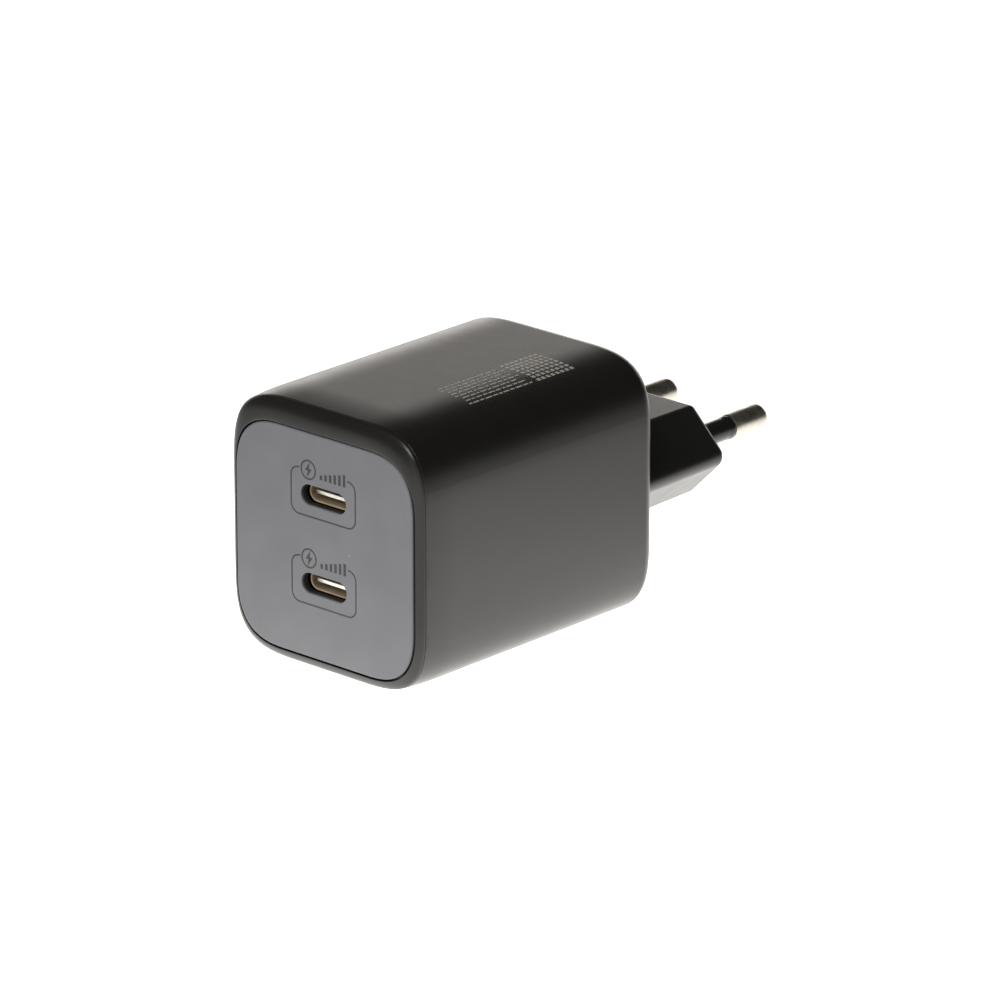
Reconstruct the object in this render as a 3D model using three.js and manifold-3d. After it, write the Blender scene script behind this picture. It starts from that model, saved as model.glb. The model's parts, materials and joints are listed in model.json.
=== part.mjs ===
// USB wall charger: two USB-C ports in front, a fixed two-pin Europlug behind.
// Millimetres, +Z up. The charger lies on its bottom face, and +Y runs from the ports to the pins.
// The parts are drawn with Y measured from the front plane. The group that holds them is moved so that
// the origin is the middle of the whole length, on the resting face.
import * as THREE from 'three';
import { mergeVertices } from 'three/addons/utils/BufferGeometryUtils.js';
import Module from 'manifold-3d';

const wasm = await Module();
wasm.setup();

// Body
const bodyWidth = 39.4;
const bodyHeight = 41.6;
const bodyDepth = 52.5;
const cornerReach = 14.0; // length of a soft corner along each side
const cornerExponent = 3.5; // superellipse exponent of that corner
const cornerSteps = 10;
const wallThickness = 1.8;
const rearWallThickness = 2.0;
const rearEdgeRadius = 2.8;
const midHeight = bodyHeight / 2;
const fitGap = 0.15; // between two casing parts that fit together
const overlap = 0.1; // by which one cut or joined solid runs into the next

// Bezel and panel
const seamDepth = 1.4; // front plane to the seam between bezel and shell
const crownWidth = 3.2; // width over which the bezel curves back to the seam
const rimThickness = 1.0; // shell wall where the bezel's skirt enters it
const skirtThickness = 1.5;
const skirtEnd = 6.0;
const panelWidth = 36.0;
const panelHeight = 35.3;
const panelBottom = 2.1; // bezel height below the panel
const panelReach = 9.6;
const panelExponent = 2.7;
const panelFront = 0.1;
const panelThickness = 1.4;
const ledgeWidth = 2.0; // bezel ledge behind the panel's edge
const ledgeThickness = 1.4;
const panelEdge = 0.25; // chamfer round the panel's front
const panelMid = panelBottom + panelHeight / 2;

// USB-C receptacles
const portSpacing = 13.9;
const portSlotWidth = 9.2;
const portSlotHeight = 3.2;
const receptacleWidth = 8.94;
const receptacleHeight = 3.16;
const receptacleWall = 0.3;
const receptacleFront = 1.8;
const receptacleEnd = 10.2;
const tongueWidth = 6.7;
const tongueHeight = 0.7;
const tongueFront = 2.1;
const tongueStepLength = 1.6; // thicker root of the tongue, in front of the insulator
const insulatorFront = 8.2;
const portBracketFront = 5.2;
const portBracketInset = 2.9;
const portBracketThickness = 1.5;
const portBoardFront = 10.5;

// Plug
const plugLength = 17.7; // rear face to the plug's end face
const plugSharpWidth = 38.9; // across the two side points before they are rounded
const plugRootHeight = 14.4;
const plugDraft = 0.97; // size of the end face compared with the root
const plugPointRadius = 2.1;
const plugEdge = 1.3;
const plugHoleGap = 0.3; // round the block where it passes through the shell, and round the pins in it
const plugFlangeWidth = 34.8;
const plugFlangeHeight = 22.0;
const plugFlangeThickness = 1.8;
const plugFlangeCorner = 4.0;
const pinSpacing = 19.0;
const pinTipSpacing = 18.4;
const pinLength = 18.5;
const pinRadius = 2.0;
const pinNeckRadius = 1.3; // under the insulating sleeve
const pinTipRound = 1.2;
const pinHeadRadius = 2.9;
const pinHeadThickness = 1.1;
const pinHeadGap = 0.4; // between the pin's head and the flange
const pinShoulder = -2.2; // where the pin narrows, inside the block
const sleeveStart = -1.9;
const sleeveLength = 10.4;
const sleeveRadius = 1.8;
const sleeveCollarRadius = pinRadius - 0.03; // the sleeve's end is as wide as the pin
const sleeveFlareStart = sleeveLength - 1.3;
const sleeveFlareEnd = sleeveLength - 0.6;
const sleeveBore = pinNeckRadius + fitGap;
const plugEnd = bodyDepth + plugLength;
const overallLength = plugEnd + pinLength;

// Boards and layout
const boardThickness = 1.2;
const mainBoardZ = 5.0;
const controlBoardZ = 34.2;
const boardHalfWidth = 14.6;
const boardStart = 13.0;
const mainBoardStart = 12.2;
const boardEnd = 45.5;
const mainBoardEnd = 47.0;
const gap = 0.2; // between a part and the board or piece it stands on
const onMainBoard = mainBoardZ + boardThickness + gap;
const onControlBoard = controlBoardZ + boardThickness + gap;
const solderGap = 0.1; // under a chip
const tubeStart = 9.2;
const tubeEnd = mainBoardEnd + 0.1;
const tubeInset = 2.0; // insulation tube, measured in from the body's surface
const tubeThickness = 0.3;
const spreaderInset = 2.6;
const spreaderThickness = 0.6;
const spreaderLowEdge = 10.0;
const leadThickness = 0.6;
const circleSteps = 20;

const finish = (color, roughness, metalness = 0) =>
  new THREE.MeshStandardMaterial({ color, roughness, metalness });

const blackPlastic = () => finish(0x18181a, 0.38);
const greyPlastic = () => finish(0x7f8186, 0.5);
const nickel = () => finish(0xb9b4aa, 0.22, 1);
const copper = () => finish(0xb56b3c, 0.35, 1);
const bronze = () => finish(0xc79a55, 0.35, 1);
const greenBoard = () => finish(0x1f5a3c, 0.55);
const ferrite = () => finish(0x3a3b3d, 0.75);
const blackEpoxy = () => finish(0x1c1c1d, 0.6);
const darkMoulding = () => finish(0x2a2b2d, 0.6);
const darkSleeve = () => finish(0x23252b, 0.4);

const charger = new THREE.Group();
charger.position.y = -overallLength / 2;

function place(name, geometry, material) {
  const mesh = new THREE.Mesh(geometry, material);
  mesh.name = name;
  charger.add(mesh);
  return mesh;
}

// ---- solids -------------------------------------------------------------------------------------

function solid(geometry) {
  const bare = geometry.clone();
  bare.deleteAttribute('normal');
  bare.deleteAttribute('uv');
  const merged = mergeVertices(bare, 1e-4);
  return new wasm.Manifold(new wasm.Mesh({
    numProp: 3,
    vertProperties: new Float32Array(merged.attributes.position.array),
    triVerts: new Uint32Array(merged.index.array),
  }));
}

function shapeOf(body) {
  const mesh = body.getMesh();
  const indexed = new THREE.BufferGeometry();
  indexed.setAttribute('position', new THREE.BufferAttribute(mesh.vertProperties, 3));
  indexed.setIndex(new THREE.BufferAttribute(mesh.triVerts, 1));
  const flat = indexed.toNonIndexed();
  flat.computeVertexNormals();
  return flat;
}

function cut(first, ...others) {
  return shapeOf(others.reduce((body, other) => body.subtract(solid(other)), solid(first)));
}

function join(first, ...others) {
  return shapeOf(others.reduce((body, other) => body.add(solid(other)), solid(first)));
}

function box(sizeX, sizeY, sizeZ, x, y, z) {
  return new THREE.BoxGeometry(sizeX, sizeY, sizeZ).translate(x, y, z);
}

// ---- outlines, drawn in X and Z round the origin ---------------------------------------------------

// Rectangle whose corners are quarter superellipses of the given reach.
function softRectangle(width, height, reach, exponent) {
  const points = [];
  for (let quarter = 0; quarter < 4; quarter += 1) {
    const sideX = quarter === 0 || quarter === 3 ? 1 : -1;
    const sideZ = quarter < 2 ? 1 : -1;
    for (let step = 0; step <= cornerSteps; step += 1) {
      const angle = (step / cornerSteps) * Math.PI / 2;
      const turn = quarter % 2 === 0 ? angle : Math.PI / 2 - angle;
      const across = Math.cos(turn);
      const along = Math.sin(turn);
      const radius = reach * (across ** exponent + along ** exponent) ** (-1 / exponent);
      points.push(new THREE.Vector2(
        sideX * (width / 2 - reach + radius * across),
        sideZ * (height / 2 - reach + radius * along),
      ));
    }
  }
  return new THREE.Shape(points);
}

const bodyOutline = (inset) => softRectangle(
  bodyWidth - 2 * inset,
  bodyHeight - 2 * inset,
  cornerReach - inset,
  cornerExponent,
);

const panelOutline = (inset) => softRectangle(
  panelWidth - 2 * inset,
  panelHeight - 2 * inset,
  panelReach - inset,
  panelExponent,
);

// Slot with round ends.
function slotOutline(width, height) {
  const radius = height / 2;
  const centre = width / 2 - radius;
  const shape = new THREE.Shape();
  shape.absarc(centre, 0, radius, -Math.PI / 2, Math.PI / 2, false);
  shape.absarc(-centre, 0, radius, Math.PI / 2, Math.PI * 1.5, false);
  return shape;
}

// Rectangle with round corners.
function roundRectangle(width, height, radius) {
  const right = width / 2 - radius;
  const top = height / 2 - radius;
  const shape = new THREE.Shape();
  shape.absarc(right, top, radius, 0, Math.PI / 2, false);
  shape.absarc(-right, top, radius, Math.PI / 2, Math.PI, false);
  shape.absarc(-right, -top, radius, Math.PI, Math.PI * 1.5, false);
  shape.absarc(right, -top, radius, Math.PI * 1.5, Math.PI * 2, false);
  return shape;
}

// Six-sided plug outline: flat top and bottom, 45 degree bevels that meet in a rounded point. Growth
// moves every side outwards by the same amount.
function plugOutline(growth = 0) {
  const pointAngle = Math.PI / 4;
  const halfWidth = plugSharpWidth / 2 + growth / Math.sin(pointAngle);
  const halfHeight = plugRootHeight / 2 + growth;
  const pointRadius = plugPointRadius + growth;
  const flatEnd = halfWidth - halfHeight;
  const pointCentre = halfWidth - pointRadius / Math.sin(pointAngle);
  const shape = new THREE.Shape();
  shape.absarc(pointCentre, 0, pointRadius, -pointAngle, pointAngle, false);
  shape.lineTo(flatEnd, halfHeight);
  shape.lineTo(-flatEnd, halfHeight);
  shape.absarc(-pointCentre, 0, pointRadius, Math.PI - pointAngle, Math.PI + pointAngle, false);
  shape.lineTo(-flatEnd, -halfHeight);
  shape.lineTo(flatEnd, -halfHeight);
  return shape;
}

// ---- outlines made solid -----------------------------------------------------------------------------

// An outline in X and Z drawn out from y0 to y1, centred on height z. The edges at both ends can be
// rounded: inset is measured in the outline, depth along Y.
function alongY(outline, y0, y1, z, { inset = 0, depth = 0, steps = 4, curveSegments = 8 } = {}) {
  const geometry = new THREE.ExtrudeGeometry(outline, {
    depth: y1 - y0 - 2 * depth,
    curveSegments,
    bevelEnabled: depth > 0,
    bevelSize: inset,
    bevelOffset: -inset,
    bevelThickness: depth,
    bevelSegments: steps,
  });
  return geometry.rotateX(Math.PI / 2).translate(0, y1 - depth, z);
}

// An outline in X and Y drawn upwards from height z.
function upwards(outline, height, x, y, z, curveSegments = 4) {
  const settings = { depth: height, bevelEnabled: false, curveSegments };
  return new THREE.ExtrudeGeometry(outline, settings).translate(x, y, z);
}

// A turned part on the Y axis: profile points are [radius, y].
function turned(profile) {
  return new THREE.LatheGeometry(profile.map(([radius, y]) => new THREE.Vector2(radius, y)), circleSteps);
}

// ---- casing --------------------------------------------------------------------------------------------

function housingShell() {
  const front = seamDepth + overlap;
  const outside = alongY(bodyOutline(0), -rearEdgeRadius, bodyDepth, midHeight, {
    inset: rearEdgeRadius,
    depth: rearEdgeRadius,
  });
  const beforeFront = box(2 * bodyWidth, 2 * bodyDepth, 2 * bodyHeight, 0, front - bodyDepth, midHeight);
  const rebate = alongY(bodyOutline(rimThickness), -bodyDepth, skirtEnd + gap, midHeight);
  const inside = alongY(bodyOutline(wallThickness), -bodyDepth, bodyDepth - rearWallThickness, midHeight);
  const plugHoleStart = bodyDepth - rearWallThickness - plugFlangeThickness;
  const plugHole = alongY(plugOutline(plugHoleGap), plugHoleStart, plugEnd, midHeight);
  return cut(outside, beforeFront, rebate, inside, plugHole);
}

function frontBezel() {
  const pocketDepth = panelFront + panelThickness + overlap;
  const skirtInset = rimThickness + fitGap;
  const hollowStart = pocketDepth + ledgeThickness;
  const rounded = alongY(bodyOutline(0), 0, bodyDepth, midHeight, { inset: crownWidth, depth: seamDepth });
  const behindSeam = box(2 * bodyWidth, 2 * bodyDepth, 2 * bodyHeight, 0, seamDepth + bodyDepth, midHeight);
  const crown = cut(rounded, behindSeam);
  const skirt = alongY(bodyOutline(skirtInset), seamDepth - overlap, skirtEnd, midHeight);
  const pocket = alongY(panelOutline(-fitGap), -bodyDepth, pocketDepth, panelMid);
  const opening = alongY(panelOutline(ledgeWidth), -bodyDepth, bodyDepth, panelMid);
  const hollow = alongY(bodyOutline(skirtInset + skirtThickness), hollowStart, bodyDepth, midHeight);
  return cut(join(crown, skirt), pocket, opening, hollow);
}

const portHeights = { upper: midHeight + portSpacing / 2, lower: midHeight - portSpacing / 2 };

function frontPanel() {
  const plate = alongY(panelOutline(0), panelFront, panelFront + panelThickness, panelMid, {
    inset: panelEdge,
    depth: panelEdge,
    steps: 1,
  });
  const slot = slotOutline(portSlotWidth, portSlotHeight);
  const slots = Object.values(portHeights).map((z) => alongY(slot, -bodyDepth, bodyDepth, z));
  return cut(plate, ...slots);
}

function plugBlock() {
  const root = bodyDepth - rearWallThickness - plugFlangeThickness / 2;
  const straight = alongY(plugOutline(), root, plugEnd, midHeight, { inset: plugEdge, depth: plugEdge });
  // The draft narrows the block evenly towards its end face.
  const places = straight.attributes.position;
  for (let i = 0; i < places.count; i += 1) {
    const along = Math.max(0, (places.getY(i) - bodyDepth) / plugLength);
    const scale = 1 - (1 - plugDraft) * along;
    places.setX(i, places.getX(i) * scale);
    places.setZ(i, midHeight + (places.getZ(i) - midHeight) * scale);
  }
  const flangeRear = bodyDepth - rearWallThickness - fitGap;
  const flange = alongY(
    roundRectangle(plugFlangeWidth, plugFlangeHeight, plugFlangeCorner),
    flangeRear - plugFlangeThickness,
    flangeRear,
    midHeight,
    { curveSegments: 4 },
  );
  const boreRadius = pinRadius + plugHoleGap;
  const bores = [-1, 1].map((side) => turnedPin(side, turned([
    [0, -2 * plugLength],
    [boreRadius, -2 * plugLength],
    [boreRadius, plugLength],
    [0, plugLength],
  ])));
  return cut(join(straight, flange), ...bores);
}

// ---- plug pins: they lean towards each other, turning about their foot on the end face ---------------

function turnedPin(side, geometry) {
  const lean = Math.atan((pinSpacing - pinTipSpacing) / 2 / pinLength);
  return geometry.rotateZ(side * lean).translate(side * pinSpacing / 2, plugEnd, midHeight);
}

const pinHeadY = bodyDepth - rearWallThickness - plugFlangeThickness - pinHeadGap - plugEnd;

function plugPin(side) {
  const tip = [20, 45, 70].map((degrees) => {
    const angle = THREE.MathUtils.degToRad(degrees);
    return [
      pinRadius - pinTipRound + pinTipRound * Math.cos(angle),
      pinLength - pinTipRound + pinTipRound * Math.sin(angle),
    ];
  });
  return turnedPin(side, turned([
    [0, pinHeadY - pinHeadThickness],
    [pinHeadRadius, pinHeadY - pinHeadThickness],
    [pinHeadRadius, pinHeadY],
    [pinRadius, pinHeadY],
    [pinRadius, pinShoulder],
    [pinNeckRadius, pinShoulder],
    [pinNeckRadius, sleeveLength + fitGap],
    [pinRadius - fitGap, sleeveLength + fitGap],
    [pinRadius, sleeveLength + 2 * fitGap],
    [pinRadius, pinLength - pinTipRound],
    ...tip,
    [pinRadius - pinTipRound, pinLength],
    [0, pinLength],
  ]));
}

function pinSleeve(side) {
  return turnedPin(side, turned([
    [sleeveBore, sleeveStart],
    [sleeveRadius, sleeveStart],
    [sleeveRadius, sleeveFlareStart],
    [sleeveCollarRadius, sleeveFlareEnd],
    [sleeveCollarRadius, sleeveLength],
    [sleeveBore, sleeveLength],
    [sleeveBore, sleeveStart],
  ]));
}

// Bent strip: a foot on the main board, a tall leaf that presses on the pin's head.
function contactSpring(side) {
  const strip = 0.5;
  const width = 4;
  const contactGap = 0.3;
  const footLength = 2.4;
  const leafTop = midHeight + 2.4;
  const lipHeight = 2;
  const lipLean = 1.4;
  const leafRear = plugEnd + pinHeadY - pinHeadThickness - contactGap;
  const leafFront = leafRear - strip;
  const footFront = leafRear - footLength;
  const profile = new THREE.Shape([
    new THREE.Vector2(footFront, onMainBoard),
    new THREE.Vector2(leafRear, onMainBoard),
    new THREE.Vector2(leafRear, leafTop),
    new THREE.Vector2(leafRear - lipLean, leafTop + lipHeight),
    new THREE.Vector2(leafFront - lipLean, leafTop + lipHeight),
    new THREE.Vector2(leafFront, leafTop),
    new THREE.Vector2(leafFront, onMainBoard + strip),
    new THREE.Vector2(footFront, onMainBoard + strip),
  ]);
  const geometry = new THREE.ExtrudeGeometry(profile, { depth: width, bevelEnabled: false });
  // The profile is drawn in Y and Z, so it is turned to be drawn out along X.
  geometry.applyMatrix4(new THREE.Matrix4().set(0, 0, 1, 0, 1, 0, 0, 0, 0, 1, 0, 0, 0, 0, 0, 1));
  return geometry.translate(side * pinSpacing / 2 - width / 2, 0, 0);
}

// ---- USB-C receptacles -----------------------------------------------------------------------------

// The receptacle's outline, grown or shrunk by the same amount all round.
function receptacleOutline(growth) {
  return slotOutline(receptacleWidth + 2 * growth, receptacleHeight + 2 * growth);
}

function receptacleShell(z) {
  const outline = receptacleOutline(0);
  outline.holes.push(receptacleOutline(-receptacleWall));
  return alongY(outline, receptacleFront, receptacleEnd, z, { curveSegments: 6 });
}

function receptacleInsulator(z) {
  const slack = 0.1;
  const stepExtra = 0.5;
  const outline = receptacleOutline(-receptacleWall - slack);
  const plug = alongY(outline, insulatorFront, receptacleEnd - slack, z, { curveSegments: 6 });
  const tongueLength = insulatorFront + overlap - tongueFront;
  const tongue = box(tongueWidth, tongueLength, tongueHeight, 0, tongueFront + tongueLength / 2, z);
  const stepMid = insulatorFront + overlap - tongueStepLength / 2;
  const step = box(tongueWidth + stepExtra, tongueStepLength, tongueHeight + stepExtra, 0, stepMid, z);
  return join(plug, tongue, step);
}

// Plate behind the bezel with a collar round each receptacle.
function portBracket() {
  const collarWall = 1.5;
  const collarLength = 1.6;
  const plateEnd = portBracketFront + portBracketThickness;
  const plate = alongY(bodyOutline(portBracketInset), portBracketFront, plateEnd, midHeight);
  const collarOutline = roundRectangle(
    receptacleWidth + 2 * collarWall,
    receptacleHeight + 2 * collarWall,
    collarWall,
  );
  const heights = Object.values(portHeights);
  const collars = heights.map((z) => alongY(collarOutline, portBracketFront, plateEnd + collarLength, z));
  const holes = heights.map((z) => alongY(receptacleOutline(gap), -bodyDepth, bodyDepth, z));
  return cut(join(plate, ...collars), ...holes);
}

// ---- boards ------------------------------------------------------------------------------------------

const boardCorner = 1;

function levelBoard(start, end, z) {
  const outline = roundRectangle(2 * boardHalfWidth, end - start, boardCorner);
  return upwards(outline, boardThickness, 0, (start + end) / 2, z, 2);
}

function portBoard() {
  const height = controlBoardZ - mainBoardZ;
  const mid = (controlBoardZ + mainBoardZ) / 2;
  const outline = roundRectangle(2 * boardHalfWidth, height, boardCorner);
  return alongY(outline, portBoardFront, portBoardFront + boardThickness, mid, { curveSegments: 2 });
}

// ---- transformer: two E cores, bobbin, winding and tape, on an upright axis -----------------------------

const transformer = {
  x: -4.2,
  y: 19.9,
  width: 20,
  depth: 7,
  height: 23,
  yoke: 3,
  outerLeg: 2.8,
  centreLeg: 6,
  split: 0.1, // half the gap between the two cores
};
transformer.mid = onMainBoard + transformer.height / 2;

function transformerCore(side) {
  const { x, y, width, depth, height, yoke, outerLeg, centreLeg, split, mid } = transformer;
  const legHeight = height / 2 - split;
  const legMid = mid + side * (height / 2 - legHeight / 2);
  const outerOffset = (width - outerLeg) / 2;
  const legs = [
    box(outerLeg, depth, legHeight, x - outerOffset, y, legMid),
    box(centreLeg, depth, legHeight, x, y, legMid),
    box(outerLeg, depth, legHeight, x + outerOffset, y, legMid),
  ];
  return join(box(width, depth, yoke, x, y, mid + side * (height - yoke) / 2), ...legs);
}

const bobbin = {
  flangeWidth: 13.6,
  flangeDepth: 13.0,
  flangeThickness: 0.8,
  tubeWall: 0.6,
  height: transformer.height - 2 * (transformer.yoke + gap),
};
bobbin.bottom = transformer.mid - bobbin.height / 2;

// Frame round the transformer's centre leg. Both growths are measured from the bobbin's bore.
function frameRoundLeg(innerGrowth, outerWidth, outerDepth, height, z) {
  const boreWidth = transformer.centreLeg + 2 * gap;
  const boreDepth = transformer.depth + 2 * gap;
  const outline = roundRectangle(outerWidth, outerDepth, 1.2);
  outline.holes.push(roundRectangle(boreWidth + 2 * innerGrowth, boreDepth + 2 * innerGrowth, 0.6));
  return upwards(outline, height, transformer.x, transformer.y, z, 3);
}

// Frame of even thickness round the centre leg.
function evenFrame(innerGrowth, outerGrowth, height, z) {
  const outerWidth = transformer.centreLeg + 2 * (gap + outerGrowth);
  const outerDepth = transformer.depth + 2 * (gap + outerGrowth);
  return frameRoundLeg(innerGrowth, outerWidth, outerDepth, height, z);
}

function transformerBobbin() {
  const { flangeWidth, flangeDepth, flangeThickness, tubeWall, height, bottom } = bobbin;
  const flange = (z) => frameRoundLeg(0, flangeWidth, flangeDepth, flangeThickness, z);
  const tube = evenFrame(0, tubeWall, height, bottom);
  return join(tube, flange(bottom), flange(bottom + height - flangeThickness));
}

// A wrap that fills the height between the bobbin's flanges.
function transformerWrap(innerGrowth, outerGrowth) {
  const inset = bobbin.flangeThickness + gap;
  return evenFrame(
    bobbin.tubeWall + innerGrowth,
    bobbin.tubeWall + outerGrowth,
    bobbin.height - 2 * inset,
    bobbin.bottom + inset,
  );
}

const windingThickness = 1.95;
const tapeThickness = 0.3;

// ---- common-mode choke: an upright ring core with a winding on each side ---------------------------------

const choke = { y: 41.0, coreOuter: 5.3, coreInner: 3.1, coreHalf: 2.1, wire: 0.9 };
choke.z = onMainBoard + choke.coreOuter + fitGap + choke.wire;

// The core's ring, grown by the same amount on every side.
function chokeRing(growth) {
  const outer = choke.coreOuter + growth;
  const inner = choke.coreInner - growth;
  const half = choke.coreHalf + growth;
  const ring = turned([[inner, -half], [outer, -half], [outer, half], [inner, half], [inner, -half]]);
  return ring.translate(0, choke.y, choke.z);
}

function chokeWinding(side) {
  const separation = 1.2; // each winding stops this far from the middle plane
  const reach = 2 * choke.coreOuter + 2 * choke.wire;
  const otherSide = box(2 * reach, 2 * reach, 2 * reach, side * (separation - reach), choke.y, choke.z);
  return cut(chokeRing(fitGap + choke.wire), chokeRing(fitGap), otherSide);
}

// ---- small parts -----------------------------------------------------------------------------------------

// Can of a capacitor on the main board, with its crimp groove and a rounded top edge.
function capacitorCan(diameter, height, x, y) {
  const radius = diameter / 2;
  const grooveDepth = 0.25;
  const grooveHalf = 0.5;
  const grooveZ = 0.12 * height + grooveHalf;
  const rim = 0.5;
  const can = turned([
    [0, 0],
    [radius, 0],
    [radius, grooveZ - grooveHalf],
    [radius - grooveDepth, grooveZ],
    [radius, grooveZ + grooveHalf],
    [radius, height - rim],
    [radius - rim, height],
    [0, height],
  ]);
  return can.rotateX(Math.PI / 2).translate(x, y, onMainBoard);
}

// Disc with its axis along Y and two straight leads, such as a thermistor or a ceramic capacitor.
function leadedDisc(radius, thickness, x, y, z, leadEnd) {
  const half = thickness / 2;
  const rim = 0.45;
  const leadOffset = 0.6 * radius;
  const disc = turned([
    [0, -half],
    [radius - rim, -half],
    [radius, rim - half],
    [radius, half - rim],
    [radius - rim, half],
    [0, half],
  ]);
  const leads = [-1, 1].map((side) => box(
    leadThickness,
    leadThickness,
    Math.abs(z - leadEnd),
    x + side * leadOffset,
    y,
    (z + leadEnd) / 2,
  ));
  return join(disc.translate(x, y, z), ...leads);
}

function roundedBlock(width, depth, height, x, y, z, radius = 0.8) {
  return upwards(roundRectangle(width, depth, radius), height, x, y, z, 2);
}

// Chip with a shallow chamfer round its top face.
function chip(width, depth, height, x, y, z) {
  const chamfer = 0.2;
  const outline = new THREE.Shape([
    new THREE.Vector2(-width / 2, -depth / 2),
    new THREE.Vector2(width / 2, -depth / 2),
    new THREE.Vector2(width / 2, depth / 2),
    new THREE.Vector2(-width / 2, depth / 2),
  ]);
  const geometry = new THREE.ExtrudeGeometry(outline, {
    depth: height - 2 * chamfer,
    bevelSize: chamfer,
    bevelOffset: -chamfer,
    bevelThickness: chamfer,
    bevelSegments: 1,
  });
  return geometry.translate(x, y, z + chamfer);
}

// Chip on the main board's underside.
function chipBelow(width, depth, height, x, y) {
  return chip(width, depth, height, x, y, mainBoardZ - solderGap - height);
}

// Chip on the rear of the port board.
function portController(z) {
  const size = 5;
  const thickness = 0.9;
  const front = portBoardFront + boardThickness + solderGap;
  return chip(size, size, thickness, 0, 0, 0).rotateX(-Math.PI / 2).translate(transformer.x + 1, front, z);
}

// ---- thermal and insulating layers round the boards -----------------------------------------------------

function layer(inset, thickness, y0, y1) {
  const outline = bodyOutline(inset);
  outline.holes.push(bodyOutline(inset + thickness));
  return alongY(outline, y0, y1, midHeight);
}

function heatSpreader() {
  const around = layer(spreaderInset, spreaderThickness, boardStart, boardEnd - fitGap);
  const below = box(2 * bodyWidth, 4 * bodyDepth, 2 * spreaderLowEdge, 0, 0, 0);
  return cut(around, below);
}

const powerChip = { size: 8, thickness: 0.9, x: -3, y: 30 };

function powerChipBody() {
  const { size, thickness, x, y } = powerChip;
  return chip(size, size, thickness, x, y, onControlBoard);
}

// Pad that fills the space between the power chip and the heat spreader.
function thermalPad() {
  const bottom = onControlBoard + powerChip.thickness + solderGap;
  const top = bodyHeight - spreaderInset - spreaderThickness - solderGap;
  return roundedBlock(12, 14, top - bottom, powerChip.x, powerChip.y, bottom);
}

// ---- the charger --------------------------------------------------------------------------------

place('housing_shell', housingShell(), blackPlastic());
place('front_bezel', frontBezel(), blackPlastic());
place('front_panel', frontPanel(), greyPlastic());
place('plug_block', plugBlock(), blackPlastic());

for (const [side, hand] of [[-1, 'left'], [1, 'right']]) {
  place(`pin_${hand}`, plugPin(side), nickel());
  place(`pin_sleeve_${hand}`, pinSleeve(side), blackPlastic());
  place(`contact_spring_${hand}`, contactSpring(side), bronze());
  place(`choke_winding_${hand}`, chokeWinding(side), copper());
}

for (const [level, z] of Object.entries(portHeights)) {
  place(`usb_shell_${level}`, receptacleShell(z), nickel());
  place(`usb_insulator_${level}`, receptacleInsulator(z), blackEpoxy());
  place(`port_controller_${level}`, portController(z), blackEpoxy());
}

const underControlBoard = controlBoardZ - gap;
const linkHeight = underControlBoard - onMainBoard;
const inductorHeight = 4.2;
const inductorZ = underControlBoard - inductorHeight;

place('port_bracket', portBracket(), darkMoulding());
place('main_board', levelBoard(mainBoardStart, mainBoardEnd, mainBoardZ), greenBoard());
place('control_board', levelBoard(boardStart, boardEnd, controlBoardZ), greenBoard());
place('port_board', portBoard(), greenBoard());
place('board_link', roundedBlock(1.8, 9, linkHeight, 13.4, 20, onMainBoard, 0.4), blackEpoxy());

place('transformer_core_upper', transformerCore(1), ferrite());
place('transformer_core_lower', transformerCore(-1), ferrite());
place('transformer_bobbin', transformerBobbin(), darkMoulding());
place('transformer_winding', transformerWrap(fitGap, fitGap + windingThickness), copper());
place('transformer_tape', transformerWrap(
  2 * fitGap + windingThickness,
  2 * fitGap + windingThickness + tapeThickness,
), finish(0xd9b33a, 0.4));
place('choke_core', chokeRing(0), ferrite());

const bulkCapacitor = { diameter: 9.4, height: 26, pitch: 9.8, y: 31.7 };
for (const number of [1, 2, 3]) {
  const { diameter, height, pitch, y } = bulkCapacitor;
  place(`bulk_capacitor_${number}`, capacitorCan(diameter, height, (number - 2) * pitch, y), darkSleeve());
}
const outputCapacitor = { diameter: 5.4, height: 12, x: 9.4, firstY: 16.6, pitch: 6.8 };
for (const number of [1, 2]) {
  const { diameter, height, x, firstY, pitch } = outputCapacitor;
  const can = capacitorCan(diameter, height, x, firstY + (number - 1) * pitch);
  place(`output_capacitor_${number}`, can, finish(0xb8bbc0, 0.3, 1));
}

place('x_capacitor', roundedBlock(6.8, 6.4, 14, -11.1, 40.4, onMainBoard), finish(0xc9a23c, 0.5));
place('y_capacitor', leadedDisc(3.9, 3, -9.4, 41, 28.6, underControlBoard), finish(0x2f62a8, 0.4));
place('fuse', roundedBlock(7.2, 3.8, 8, 11, 38.9, onMainBoard), blackEpoxy());
place('inrush_thermistor', leadedDisc(3.4, 2.2, 10.9, 42.4, 22.5, onMainBoard), finish(0x2c5b3f, 0.45));
place('bridge_rectifier', chipBelow(9, 7, 1.9, 0, 40), blackEpoxy());
place('synchronous_rectifier', chipBelow(6, 5, 1, 4, 18), blackEpoxy());
place('gan_power_chip', powerChipBody(), blackEpoxy());
place('buck_inductor', roundedBlock(6.6, 6.6, inductorHeight, 8.6, 20, inductorZ), ferrite());
place('thermal_pad', thermalPad(), finish(0x8fa3b8, 0.8));
place('heat_spreader', heatSpreader(), finish(0xc4c7cb, 0.35, 1));
place('insulation_tube', layer(tubeInset, tubeThickness, tubeStart, tubeEnd), finish(0x202020, 0.45));

export default charger;
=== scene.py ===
import json
import math

import bmesh
import bpy
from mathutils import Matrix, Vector
from mathutils.geometry import delaunay_2d_cdt


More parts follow.
